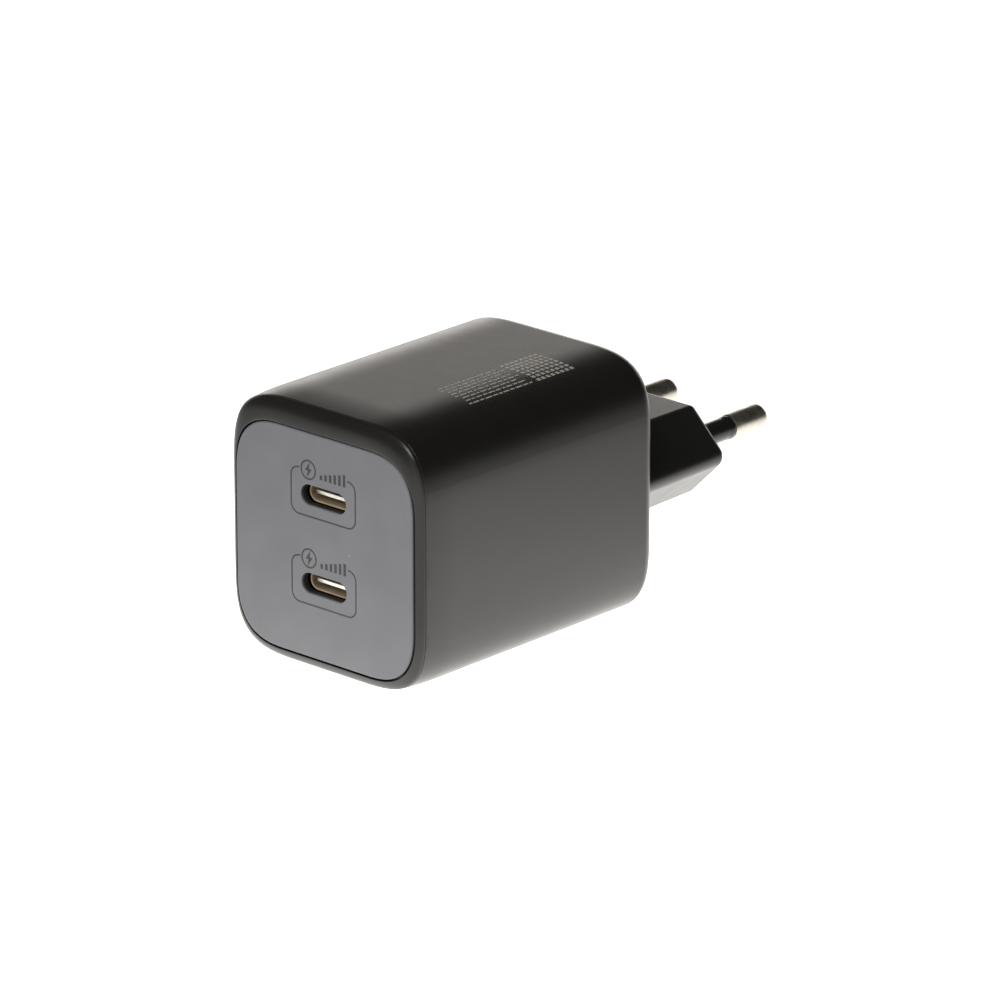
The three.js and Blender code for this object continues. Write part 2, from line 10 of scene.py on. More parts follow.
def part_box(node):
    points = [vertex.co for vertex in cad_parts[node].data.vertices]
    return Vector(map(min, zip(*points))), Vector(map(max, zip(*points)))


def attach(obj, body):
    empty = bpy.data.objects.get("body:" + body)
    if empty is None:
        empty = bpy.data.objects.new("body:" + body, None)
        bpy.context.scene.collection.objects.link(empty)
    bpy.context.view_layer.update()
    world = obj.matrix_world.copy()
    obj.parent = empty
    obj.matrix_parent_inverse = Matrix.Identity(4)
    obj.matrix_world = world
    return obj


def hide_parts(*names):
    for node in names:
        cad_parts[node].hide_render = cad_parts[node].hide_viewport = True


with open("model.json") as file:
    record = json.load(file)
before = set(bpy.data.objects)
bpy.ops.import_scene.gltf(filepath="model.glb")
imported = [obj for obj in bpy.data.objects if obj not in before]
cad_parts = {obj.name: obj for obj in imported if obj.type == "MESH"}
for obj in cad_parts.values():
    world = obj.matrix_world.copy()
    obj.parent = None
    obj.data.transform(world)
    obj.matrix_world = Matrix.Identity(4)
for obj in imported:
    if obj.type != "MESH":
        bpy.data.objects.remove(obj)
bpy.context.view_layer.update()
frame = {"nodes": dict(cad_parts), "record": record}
nodes = frame["nodes"]

MM = 0.001

# ---- driving dimensions -------------------------------------------------------------------------

CORNER_REACH = 14.0 * MM
CORNER_EXPONENT = 3.5
CORNER_STEPS = 22
WALL = 1.8 * MM
REAR_WALL = 2.0 * MM
REAR_RADIUS = 2.8 * MM
RIM = 1.0 * MM
SEAM_DEPTH = 1.4 * MM
SEAM_EDGE = 0.12 * MM
CROWN_WIDTH = 3.2 * MM
CROWN_STEPS = 18
TAPER_LENGTH = 6.5 * MM
TAPER_INSET = 0.27 * MM
PANEL_REACH = 9.6 * MM
PANEL_EXPONENT = 2.7
PANEL_EDGE = 0.25 * MM
PANEL_POCKET_GAP = 0.1 * MM  # between the panel and the ledge behind it
FIT_GAP = 0.15 * MM
PANEL_GAP = 0.24 * MM
PANEL_LIP = 0.12 * MM  # rounding of the bezel where it meets the panel
LEDGE = 2.0 * MM
LEDGE_THICKNESS = 1.4 * MM
SKIRT = 1.5 * MM
SLOT_WIDTH = 9.2 * MM
SLOT_HEIGHT = 3.2 * MM
SLOT_EDGE = 0.12 * MM
PORT_WALL = 0.3 * MM
TONGUE_WIDTH = 6.7 * MM
TONGUE_HEIGHT = 0.7 * MM
TONGUE_EDGE = 0.08 * MM
TIP_LENGTH = 1.0 * MM
TIP_EDGE = 0.12 * MM
TIP_OVERLAP = 0.1 * MM  # of the tongue inside its steel tip
INSULATOR_GAP = 0.05 * MM
INSULATOR_DEPTH = 1.9 * MM
TONGUE_ROOT_LENGTH = 1.6 * MM
TONGUE_ROOT_GROWTH = 0.5 * MM
TONGUE_ROOT_EDGE = 0.1 * MM
CONTACT_COUNT = 12
CONTACT_PITCH = 0.5 * MM
CONTACT_SIZE = (0.27 * MM, 0.06 * MM)
CONTACT_EDGE = 0.02 * MM
CONTACT_RISE = 0.01 * MM  # of a contact's middle above the tongue's face
CONTACT_START = 1.35 * MM  # from the tongue's front
CONTACT_END = 4.9 * MM
PLUG_SHARP_HALF = 19.45 * MM
PLUG_HALF_HEIGHT = 7.2 * MM
PLUG_POINT_RADIUS = 2.1 * MM
PLUG_BEVEL_RADIUS = 1.2 * MM
PLUG_EDGE = 1.3 * MM
PLUG_SMALLEST_RADIUS = 0.2 * MM
PLUG_DRAFT = 0.03
FLANGE_SIZE = (34.8 * MM, 22.0 * MM)
FLANGE_CORNER = 4.0 * MM
HOLE_GAP = 0.06 * MM
BORE_GAP = 0.3 * MM  # round a pin, deep in the plug
BORE_MOUTH = 3.0 * MM  # length of the narrow end of a bore
BORE_RIM = 0.2 * MM
PIN_SPACING = 19.0 * MM
PIN_TIP_SPACING = 18.4 * MM
PIN_RADIUS = 2.0 * MM
PIN_NECK = 1.3 * MM
PIN_TIP_ROUND = 1.3 * MM
PIN_SHOULDER = -2.2 * MM  # where the pin narrows, from the plug's end face
# Chamfer of the pin behind the sleeve, as (change of radius, distance from the sleeve's end).
PIN_COLLAR = ((-0.2 * MM, 0.05 * MM), (-0.06 * MM, 0.11 * MM), (0, 0.24 * MM))
PIN_HEAD_RADIUS = 2.9 * MM
PIN_HEAD_THICKNESS = 1.1 * MM
SLEEVE_LENGTH = 10.4 * MM
SLEEVE_RADIUS = 1.8 * MM
SLEEVE_FIT = 0.08 * MM  # between the sleeve and the neck of the pin
SLEEVE_STEP = 0.11 * MM  # by which the sleeve's end is smaller than the pin
FLARE_START = 1.4 * MM  # from the sleeve's end
FLARE_LENGTH = 0.9 * MM
SLEEVE_ROUND = 0.1 * MM
PRINT_LIFT = 0.012 * MM  # the body is this much smaller, so that the marks stay inside the CAD box
PRINT_SINK = 0.02 * MM
FRAME_WIDTH = 13.1 * MM
FRAME_HEIGHT = 7.3 * MM
FRAME_RADIUS = 1.5 * MM
FRAME_RISE = 0.3 * MM
FRAME_LINE = 0.26 * MM
FRAME_ENDS = (0.2 * MM, 0.1 * MM)  # straight ends of the line, left and right of the open top
ICON_X = -3.0 * MM
ICON_RISE = 3.92 * MM
ICON_RADIUS = 1.58 * MM
ICON_LINE = 0.27 * MM
BOLT_HALF_HEIGHT = 1.27 * MM
# Corners of the bolt, in half heights.
BOLT = ((0.25, 1.0), (-0.55, -0.12), (-0.08, -0.12), (-0.25, -1.0), (0.55, 0.14), (0.08, 0.14))
BAR_COUNT = 6
BAR_PITCH = 0.94 * MM
BAR_WIDTH = 0.5 * MM
BAR_START = (-0.4 * MM, 2.9 * MM)
BAR_SHORTEST = 0.75 * MM
BAR_GROWTH = 0.23 * MM
LABEL_ROWS = 8
ROW_START = (13.0 * MM, -26.5 * MM)
ROW_PITCH = 1.0 * MM
ROW_END = -13.0 * MM
DASH_THICKNESS = 0.3 * MM
DASH_GAP = 0.32 * MM
DASH_LENGTHS = tuple((0.6 + 0.2 * i) * MM for i in range(5))
DOT_START = (12.9 * MM, -11.2 * MM)
DOT_PITCH = 1.05 * MM
DOT_SIZE = 0.66 * MM
ROUND_STEPS = 12
TURN_STEPS = 56
SHARP_ANGLE = math.radians(38)

# ---- sizes read from the frame ------------------------------------------------------------------

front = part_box("front_bezel")[0].y
shell_low, shell_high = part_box("housing_shell")
body_width = shell_high.x - shell_low.x - 2 * PRINT_LIFT
body_height = shell_high.z - shell_low.z - 2 * PRINT_LIFT
body_middle = (shell_high.z + shell_low.z) / 2
body_rear = shell_high.y
seam = shell_low.y
skirt_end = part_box("front_bezel")[1].y
panel_low, panel_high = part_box("front_panel")
panel_middle = (panel_high.z + panel_low.z) / 2
flange_low, plug_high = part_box("plug_block")
plug_end = plug_high.y
pin_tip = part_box("pin_left")[1].y
pin_head_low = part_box("pin_left")[0]
sleeve_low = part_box("pin_sleeve_left")[0]
port_low, port_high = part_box("usb_shell_upper")
insulator_low, insulator_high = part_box("usb_insulator_upper")
tongue_front = insulator_low.y
PORTS = {}
for level in ("upper", "lower"):
    low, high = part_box(f"usb_shell_{level}")
    PORTS[level] = (low.z + high.z) / 2
pin_length = pin_tip - plug_end
plug_length = plug_end - body_rear
rear_inside = body_rear - REAR_WALL


# ---- mesh building ------------------------------------------------------------------------------

class Body:
    """One closed mesh, put together from rings of points and flat caps."""

    def __init__(self):
        self.mesh = bmesh.new()

    def ring(self, points):
        return [self.mesh.verts.new(point) for point in points]

    def skin(self, first, second):
        """Joins two rings of the same count with quads."""
        count = len(first)
        for i in range(count):
            j = (i + 1) % count
            self.mesh.faces.new((first[i], first[j], second[j], second[i]))

    def loft(self, rings, closed=False):
        """Skins a list of rings and returns the first and the last."""
        made = [self.ring(points) for points in rings]
        for first, second in zip(made, made[1:]):
            self.skin(first, second)
        if closed:
            self.skin(made[-1], made[0])
        return made[0], made[-1]

    def cap(self, *rings):
        """Fills the area inside the first ring and outside the others; all lie at one depth y."""
        verts = [v for ring in rings for v in ring]
        for face in fill([[(v.co.x, v.co.z) for v in ring] for ring in rings]):
            self.mesh.faces.new([verts[i] for i in face])


def fill(outlines):
    """Triangles, as indices into the joined outlines, inside the first outline and outside the rest."""
    points = []
    edges = []
    for outline in outlines:
        start = len(points)
        count = len(outline)
        points += [Vector((u / MM, v / MM)) for u, v in outline]
        edges += [(start + i, start + (i + 1) % count) for i in range(count)]
    inside_all_edges = 1
    made = delaunay_2d_cdt(points, edges, [], inside_all_edges, 1e-6)
    origin = [ids[0] for ids in made[3]]
    triangles = []
    for face in made[2]:
        centre = sum((made[0][i] for i in face), Vector((0, 0))) / 3 * MM
        if not any(encloses(outline, centre) for outline in outlines[1:]):
            triangles.append([origin[i] for i in face])
    return triangles


def encloses(outline, point):
    """Whether a closed outline goes round a point."""
    inside = False
    for (u0, v0), (u1, v1) in zip(outline, [*outline[1:], outline[0]]):
        if (v0 > point.y) != (v1 > point.y) and point.x < u0 + (u1 - u0) * (point.y - v0) / (v1 - v0):
            inside = not inside
    return inside


def add_piece(name, body, material, replaced=()):
    """Turns a finished body into a shaded object that rides on the charger."""
    bmesh.ops.recalc_face_normals(body.mesh, faces=body.mesh.faces)
    data = bpy.data.meshes.new(name)
    body.mesh.to_mesh(data)
    body.mesh.free()
    data.materials.append(material)
    data.shade_smooth()
    data.set_sharp_from_angle(angle=SHARP_ANGLE)
    piece = bpy.data.objects.new(name, data)
    bpy.context.scene.collection.objects.link(piece)
    normals = piece.modifiers.new("face_normals", "WEIGHTED_NORMAL")
    normals.keep_sharp = True
    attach(piece, "root")
    if replaced:
        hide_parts(*replaced)


# ---- outlines, in X and Z at a depth y ------------------------------------------------------------

QUARTERS = ((1, 1), (-1, 1), (-1, -1), (1, -1))


def soft_rectangle(width, height, reach, exponent, middle, y):
    """Rectangle whose corners are quarter superellipses of the given reach."""
    points = []
    for quarter, (side_x, side_z) in enumerate(QUARTERS):
        for step in range(CORNER_STEPS + 1):
            share = step / CORNER_STEPS
            angle = math.pi / 2 * (share if quarter % 2 == 0 else 1 - share)
            across, along = abs(math.cos(angle)), abs(math.sin(angle))
            radius = (across ** exponent + along ** exponent) ** (-1 / exponent)
            x = side_x * (width / 2 - reach + reach * radius * across)
            z = side_z * (height / 2 - reach + reach * radius * along)
            points.append(Vector((x, y, middle + z)))
    return points


def body_ring(inset, y):
    return soft_rectangle(
        body_width - 2 * inset,
        body_height - 2 * inset,
        CORNER_REACH - inset,
        CORNER_EXPONENT,
        body_middle,
        y,
    )


def panel_ring(inset, y):
    return soft_rectangle(
        panel_high.x - panel_low.x - 2 * inset,
        panel_high.z - panel_low.z - 2 * inset,
        PANEL_REACH - inset,
        PANEL_EXPONENT,
        panel_middle,
        y,
    )


def rounded_polygon(corners, radii, steps=ROUND_STEPS):
    """Convex outline, anticlockwise, with each corner rounded to its own radius."""
    points = []
    count = len(corners)
    for i, corner in enumerate(corners):
        here = Vector(corner)
        before = (Vector(corners[i - 1]) - here).normalized()
        after = (Vector(corners[(i + 1) % count]) - here).normalized()
        half_angle = before.angle(after) / 2
        radius = radii[i]
        centre = here + (before + after).normalized() * radius / math.sin(half_angle)
        start = here + before * radius / math.tan(half_angle) - centre
        turn = math.pi - 2 * half_angle
        for step in range(steps + 1):
            angle = turn * step / steps
            c, s = math.cos(angle), math.sin(angle)
            points.append(centre + Vector((start.x * c - start.y * s, start.x * s + start.y * c)))
    return points


def at_depth(outline, y, middle):
    """Stands a flat outline upright at a depth y, with its origin at the height middle."""
    return [Vector((u, y, middle + v)) for u, v in outline]


def slot_outline(width, height):
    """Slot with round ends, anticlockwise."""
    radius = height / 2
    centre = width / 2 - radius
    points = []
    for side, start in ((1, -math.pi / 2), (-1, math.pi / 2)):
        for step in range(ROUND_STEPS + 1):
            angle = start + math.pi * step / ROUND_STEPS
            points.append(Vector((side * centre + radius * math.cos(angle), radius * math.sin(angle))))
    return points


def circle(radius, steps=TURN_STEPS):
    angles = [2 * math.pi * i / steps for i in range(steps)]
    return [Vector((radius * math.cos(a), radius * math.sin(a))) for a in angles]


def rectangle(width, height):
    half_width, half_height = width / 2, height / 2
    return [
        (half_width, half_height),
        (-half_width, half_height),
        (-half_width, -half_height),
        (half_width, -half_height),
    ]


def arc(centre, radius, start, end, steps):
    """Points of an arc in a profile plane, with the angles in degrees."""
    angles = [math.radians(start + (end - start) * i / steps) for i in range(steps + 1)]
    return [(centre[0] + radius * math.cos(a), centre[1] + radius * math.sin(a)) for a in angles]


# ---- materials ----------------------------------------------------------------------------------

class Look:
    """A procedural material. Texture sizes are in millimetres on the real object."""

    def __init__(self, name, color, roughness, metallic=0.0, specular=0.5):
        self.material = bpy.data.materials.new(name)
        self.material.use_nodes = True
        self.nodes = self.material.node_tree.nodes
        self.links = self.material.node_tree.links
        self.shader = self.nodes["Principled BSDF"]
        self.color = color
        self.shader.inputs["Base Color"].default_value = (*color, 1)
        self.shader.inputs["Roughness"].default_value = roughness
        self.shader.inputs["Metallic"].default_value = metallic
        self.shader.inputs["Specular IOR Level"].default_value = specular
        place = self.nodes.new("ShaderNodeTexCoord")
        self.place = self.vector("SCALE", place.outputs["Object"], scale=1 / MM)

    def vector(self, operation, first, second=None, scale=None, result="Vector"):
        node = self.nodes.new("ShaderNodeVectorMath")
        node.operation = operation
        self.links.new(first, node.inputs[0])
        if second is not None:
            node.inputs[1].default_value = second
        if scale is not None:
            node.inputs["Scale"].default_value = scale
        return node.outputs[result]

    def stretched(self, factors):
        return self.vector("MULTIPLY", self.place, factors)

    def math(self, operation, first, second=None):
        node = self.nodes.new("ShaderNodeMath")
        node.operation = operation
        for socket, value in zip(node.inputs, (first, second)):
            if isinstance(value, (int, float)):
                socket.default_value = value
            elif value is not None:
                self.links.new(value, socket)
        return node.outputs[0]

    def noise(self, size, detail=2.0, place=None):
        node = self.nodes.new("ShaderNodeTexNoise")
        node.inputs["Scale"].default_value = 1 / size
        node.inputs["Detail"].default_value = detail
        self.links.new(place or self.place, node.inputs["Vector"])
        return node.outputs["Fac"]

    def cells(self, size, feature="F1", randomness=1.0):
        node = self.nodes.new("ShaderNodeTexVoronoi")
        node.feature = feature
        node.inputs["Scale"].default_value = 1 / size
        node.inputs["Randomness"].default_value = randomness
        self.links.new(self.place, node.inputs["Vector"])
        return node

    def spread(self, value, low, high, start=0.3, end=0.7):
        """Maps a texture's middle range onto low to high."""
        node = self.nodes.new("ShaderNodeMapRange")
        self.links.new(value, node.inputs["Value"])
        for socket, number in zip(("From Min", "From Max", "To Min", "To Max"), (start, end, low, high)):
            node.inputs[socket].default_value = number
        return node.outputs["Result"]

    def mix(self, share, first, second):
        """Mixes two colours; each is a colour or an output."""
        node = self.nodes.new("ShaderNodeMix")
        node.data_type = "RGBA"
        self.links.new(share, node.inputs["Factor"])
        for socket, value in ((node.inputs[6], first), (node.inputs[7], second)):
            if isinstance(value, tuple):
                socket.default_value = (*value, 1)
            else:
                self.links.new(value, socket)
        return node.outputs[2]

    def tint(self, amount, size, detail=3.0):
        """Base colour that drifts lighter and darker by a share of itself."""
        darker = tuple(channel * (1 - amount) for channel in self.color)
        lighter = tuple(channel * (1 + amount) for channel in self.color)
        return self.mix(self.spread(self.noise(size, detail), 0, 1), darker, lighter)

    def set(self, socket, output):
        self.links.new(output, self.shader.inputs[socket])

    def bump(self, height, depth):
        """Height is an output from 0 to 1, and depth its real size in millimetres."""
        node = self.nodes.new("ShaderNodeBump")
        node.inputs["Distance"].default_value = depth * MM
        self.links.new(height, node.inputs["Height"])
        self.links.new(node.outputs["Normal"], self.shader.inputs["Normal"])

    def along(self, direction):
        """Distance in millimetres from the origin along a direction."""
        return self.vector("DOT_PRODUCT", self.place, direction, result="Value")

    def pool(self, stops):
        """Value that changes with the distance from the origin; stops are (millimetres, value)."""
        distance = self.vector("LENGTH", self.place, result="Value")
        value = stops[0][1]
        for (near, high), (far, low) in zip(stops, stops[1:]):
            value = self.math("ADD", self.spread(distance, 0, low - high, near, far), value)
        return value

    def turns(self, scale, distortion, profile="SIN"):
        """Even bands across Z, from 0 to 1."""
        wave = self.nodes.new("ShaderNodeTexWave")
        wave.bands_direction = "Z"
        wave.wave_profile = profile
        wave.inputs["Scale"].default_value = scale
        wave.inputs["Distortion"].default_value = distortion
        self.links.new(self.place, wave.inputs["Vector"])
        return wave.outputs["Fac"]

    def specks(self, size, radius, share):
        """1 inside a few sparse round specks, 0 elsewhere."""
        cells = self.cells(size)
        near = self.math("LESS_THAN", cells.outputs["Distance"], radius / size)
        split = self.nodes.new("ShaderNodeSeparateColor")
        self.links.new(cells.outputs["Color"], split.inputs["Color"])
        chosen = self.math("LESS_THAN", split.outputs[0], share)
        return self.math("MULTIPLY", near, chosen)


DUST_COLOR = (0.5, 0.5, 0.5)
# Near black painted onto the walls of the port slots as painted shade.
SLOT_SHADE_COLOR = (0.006, 0.0058, 0.0055)


def moulded(name, color, roughness, grain=0.16, grain_depth=0.0035, spread=0.02, specular=0.5,
            dust=0.0, shade_from_depth=None):
    """Moulded plastic: fine eroded grain, slow drift in colour and gloss, and a share of dust specks.

    The last argument is the depth along Y behind which the colour turns near black: painted shade on the
    walls of the port slots.
    """
    look = Look(name, color, roughness, specular=specular)
    look.set("Roughness", look.spread(look.noise(3.2, 4), roughness - spread, roughness + spread))
    base = look.tint(0.06, 6.0)
    if dust:
        base = look.mix(look.specks(2.6, 0.05, dust), base, DUST_COLOR)
    # Behind the given depth the colour turns near black: painted shade on the port slots' walls.
    if shade_from_depth is not None:
        split = look.nodes.new("ShaderNodeSeparateXYZ")
        look.links.new(look.place, split.inputs[0])
        slot_shade = look.spread(split.outputs["Y"], 0, 1, shade_from_depth, shade_from_depth + 0.5)
        base = look.mix(slot_shade, base, SLOT_SHADE_COLOR)
    look.set("Base Color", base)
    look.bump(look.noise(grain, 2), grain_depth)
    return look.material


def plated(name, color, roughness, brush=(1, 0.06, 1), depth=0.0012, metallic=1.0):
    """Plated or drawn metal with fine marks along its length."""
    look = Look(name, color, roughness, metallic=metallic)
    marks = look.noise(0.09, 3, look.stretched(brush))
    cloud = look.noise(1.7, 3)
    wear = look.math("MULTIPLY", marks, cloud)
    look.set("Roughness", look.spread(wear, roughness * 0.7, roughness * 1.35, 0.1, 0.4))
    look.set("Base Color", look.tint(0.08, 1.1))
    look.bump(marks, depth)
    return look.material


black_plastic = moulded("black_plastic", (0.006, 0.0057, 0.0054), 0.3, specular=0.46, dust=0.05)
# The grey panel turns near black inside its port slots, 0.15 mm behind its face: painted shade.
grey_plastic = moulded("grey_plastic", (0.081, 0.0822, 0.089), 0.46, dust=0.06,
                       shade_from_depth=panel_low.y / MM + 0.15)
plug_plastic = moulded("plug_plastic", (0.006, 0.0059, 0.0057), 0.32)
sleeve_plastic = moulded("sleeve_plastic", (0.006, 0.006, 0.006), 0.26, grain=0.3, grain_depth=0.001)
nickel = plated("nickel", (0.58, 0.545, 0.48), 0.33)
port_steel = plated("port_steel", (0.42, 0.33, 0.22), 0.55, brush=(0.2, 1, 1), metallic=0.55)
tip_steel = plated("tip_steel", (0.82, 0.79, 0.7), 0.3, brush=(0.1, 1, 1))
contact_gold = plated("contact_gold", (0.85, 0.6, 0.25), 0.2)
port_insulator = moulded("port_insulator", (0.07, 0.055, 0.04), 0.5, grain=0.2)
panel_print = moulded("panel_print", (0.012, 0.012, 0.013), 0.5, grain=0.1, grain_depth=0.001)
label_print = moulded("label_print", (0.17, 0.16, 0.14), 0.5, grain=0.1, grain_depth=0.001)


# ---- looks of the pieces inside -----------------------------------------------------------------

def circuit_board():
    """Solder mask over tracks, with scattered plated holes."""
    look = Look("board_green", (0.012, 0.075, 0.035), 0.35)
    tracks = look.math("LESS_THAN", look.cells(2.4, "DISTANCE_TO_EDGE").outputs["Distance"], 0.1)
    holes = look.math("LESS_THAN", look.cells(1.9, randomness=0.35).outputs["Distance"], 0.14)
    masked = look.mix(tracks, look.tint(0.12, 4.0), (0.03, 0.14, 0.06))
    look.set("Base Color", look.mix(holes, masked, (0.6, 0.58, 0.52)))
    look.set("Metallic", holes)
    look.set("Roughness", look.spread(look.noise(2.0), 0.28, 0.42))
    look.bump(look.math("ADD", tracks, holes), 0.03)
    return look.material


WAVE_SCALE = 0.314  # of a wave texture whose bands are one millimetre apart
WIRE_SCALE = 0.62  # for turns of wire half a millimetre apart


def wound_wire():
    """Enamelled wire laid in even turns."""
    look = Look("copper_wire", (0.5, 0.19, 0.07), 0.3, metallic=1.0)
    wire = look.turns(WIRE_SCALE, 0.25)
    # The colour darkens to (0.2, 0.06, 0.02) in the grooves between turns: painted shade.
    look.set("Base Color", look.mix(wire, (0.2, 0.06, 0.02), look.tint(0.15, 1.5)))
    look.set("Roughness", look.spread(look.noise(0.8), 0.22, 0.4))
    look.bump(wire, 0.12)
    return look.material


def sintered(name, color):
    """Ferrite: fine dark grains with a few open pores."""
    look = Look(name, color, 0.7)
    pores = look.math("LESS_THAN", look.cells(0.55).outputs["Distance"], 0.16)
    look.set("Base Color", look.mix(pores, look.tint(0.25, 0.3), (0.008, 0.008, 0.008)))
    look.set("Roughness", look.spread(look.noise(0.4), 0.6, 0.85))
    look.bump(look.noise(0.18, 4), 0.02)
    return look.material


def wrapped(name, color, roughness, turn):
    """Film or tape wound on with a slight overlap at each turn of the given width."""
    look = Look(name, color, roughness)
    look.set("Base Color", look.tint(0.12, 2.0))
    look.set("Roughness", look.spread(look.noise(1.0), roughness * 0.75, roughness * 1.3))
    look.bump(look.turns(WAVE_SCALE / turn, 0.4, "SAW"), 0.04)
    return look.material


def dipped(name, color, roughness=0.3):
    """Thick glossy coat with soft dimples."""
    look = Look(name, color, roughness)
    look.set("Base Color", look.tint(0.12, 2.5))
    look.set("Roughness", look.spread(look.noise(1.2), roughness * 0.8, roughness * 1.3))
    look.bump(look.noise(0.9, 2), 0.05)
    return look.material


inner_looks = {
    "spring_bronze": plated("spring_bronze", (0.6, 0.38, 0.16), 0.3),
    "chip_epoxy": moulded("chip_epoxy", (0.015, 0.015, 0.016), 0.6, grain=0.1, grain_depth=0.006),
    "inner_plastic": moulded("inner_plastic", (0.03, 0.03, 0.032), 0.5, grain=0.4),
    "board_green": circuit_board(),
    "ferrite": sintered("ferrite", (0.045, 0.045, 0.048)),
    "copper_wire": wound_wire(),
    "tape_yellow": wrapped("tape_yellow", (0.68, 0.42, 0.04), 0.28, 5.0),
    "capacitor_film": wrapped("capacitor_film", (0.018, 0.022, 0.04), 0.3, 26.0),
    "capacitor_metal": plated("capacitor_metal", (0.66, 0.67, 0.69), 0.25, brush=(1, 1, 0.05)),
    "box_yellow": dipped("box_yellow", (0.5, 0.3, 0.04), 0.35),
    "disc_blue": dipped("disc_blue", (0.02, 0.09, 0.34)),
    "disc_green": dipped("disc_green", (0.015, 0.08, 0.03)),
    "thermal_rubber": moulded("thermal_rubber", (0.26, 0.34, 0.45), 0.8, grain=0.3, grain_depth=0.02),
    "spreader_sheet": plated("spreader_sheet", (0.6, 0.61, 0.63), 0.32, brush=(1, 0.04, 1)),
    "insulation_film": wrapped("insulation_film", (0.02, 0.02, 0.02), 0.4, 12.0),
}


# ---- casing -------------------------------------------------------------------------------------

def body_inset(x, z):
    """How far a point of the cross-section lies inside the body's outline."""
    across = max(abs(x) - body_width / 2 + CORNER_REACH, 0)
    along = max(abs(z) - body_height / 2 + CORNER_REACH, 0)
    return CORNER_REACH - (across ** CORNER_EXPONENT + along ** CORNER_EXPONENT) ** (1 / CORNER_EXPONENT)


def body_reach(direction, inset):
    """Distance from the body's middle to its outline, shrunk by inset, in one direction."""
    near, far = CORNER_REACH, body_width
    halvings = 26
    for _ in range(halvings):
        middle = (near + far) / 2
        point = direction * middle
        if body_inset(point.x, point.y) > inset:
            near = middle
        else:
            far = middle
    return near


def outline_reach(outline, direction):
    """Distance from the middle to a convex outline in one direction."""
    for start, end in zip(outline, outline[1:] + outline[:1]):
        side = end - start
        turn = direction.cross(side)
        if abs(turn) > 1e-12:
            reach = start.cross(side) / turn
            share = start.cross(direction) / turn
            if reach > 0 and -0.001 <= share <= 1.001:
                return reach
    raise ValueError("the outline isn't closed round the middle")


def shell_directions(hole):
    """Directions from the middle that catch each corner of the hole and of the body."""
    kept = [math.atan2(p.y, p.x) % (2 * math.pi) for p in hole]
    closest = math.radians(0.6)
    for p in body_ring(0, 0):
        angle = math.atan2(p.z - body_middle, p.x) % (2 * math.pi)
        if all(abs((angle - other + math.pi) % (2 * math.pi) - math.pi) > closest for other in kept):
            kept.append(angle)
    return [Vector((math.cos(a), math.sin(a))) for a in sorted(kept)]


def rear_drop(inset):
    """How far the rounded rear edge lies in front of the rear face."""
    share = 1 - min(inset / REAR_RADIUS, 1)
    return REAR_RADIUS * (1 - math.sqrt(1 - share ** 2))


def taper(y):
    """How far the outer surface draws in towards the front, behind the crown."""
    share = max(0, 1 - (y - front - SEAM_DEPTH) / TAPER_LENGTH)
    return TAPER_INSET * share ** 2


def housing_shell():
    hole = plug_outline(HOLE_GAP)
    directions = shell_directions(hole)
    hole_points = [d * outline_reach(hole, d) for d in directions]

    def ring(inset, y):
        return at_depth([d * body_reach(d, inset) for d in directions], y, body_middle)

    lip_steps = 4
    taper_steps = 8
    straight_steps = 6
    round_steps = 12
    round_share = 0.78
    rear_steps = 9
    profile = []
    for step in range(lip_steps + 1):
        t = math.pi / 2 * step / lip_steps
        y = seam + SEAM_EDGE * (1 - math.cos(t))
        profile.append((taper(y) + SEAM_EDGE * (1 - math.sin(t)), y))
    for step in range(1, taper_steps + 1):
        y = seam + SEAM_EDGE + (TAPER_LENGTH - SEAM_EDGE) * step / taper_steps
        profile.append((taper(y), y))
    straight_start = seam + TAPER_LENGTH
    straight_end = body_rear - REAR_RADIUS
    for step in range(1, straight_steps):
        profile.append((0, straight_start + (straight_end - straight_start) * step / straight_steps))
    for step in range(round_steps + 1):
        t = math.pi / 2 * round_share * step / round_steps
        profile.append((REAR_RADIUS * (1 - math.cos(t)), straight_end + REAR_RADIUS * math.sin(t)))
    rings = [ring(inset, y) for inset, y in profile]
    edge = rings[-1]
    for step in range(1, rear_steps + 1):
        share = (step / rear_steps) ** 2
        points = []
        for outer, inner in zip(edge, hole_points):
            x = outer.x + (inner.x - outer.x) * share
            z = outer.z - body_middle + (inner.y - outer.z + body_middle) * share
            points.append(Vector((x, body_rear - rear_drop(body_inset(x, z)), body_middle + z)))
        rings.append(points)
    step_y = skirt_end + FIT_GAP
    rings += [
        at_depth(hole_points, rear_inside, body_middle),
        ring(WALL, rear_inside),
        ring(WALL, step_y),
        ring(RIM, step_y),
        ring(RIM, seam),
    ]
    body = Body()
    body.loft(rings, closed=True)
    return body


def crown_depth(x, z):
    """How far the bezel's surface lies behind the front plane at a point of its face."""
    share = min(max((body_inset(x, z - body_middle) - TAPER_INSET) / CROWN_WIDTH, 0), 1)
    return SEAM_DEPTH * (1 - math.sqrt(1 - (1 - share) ** 2))


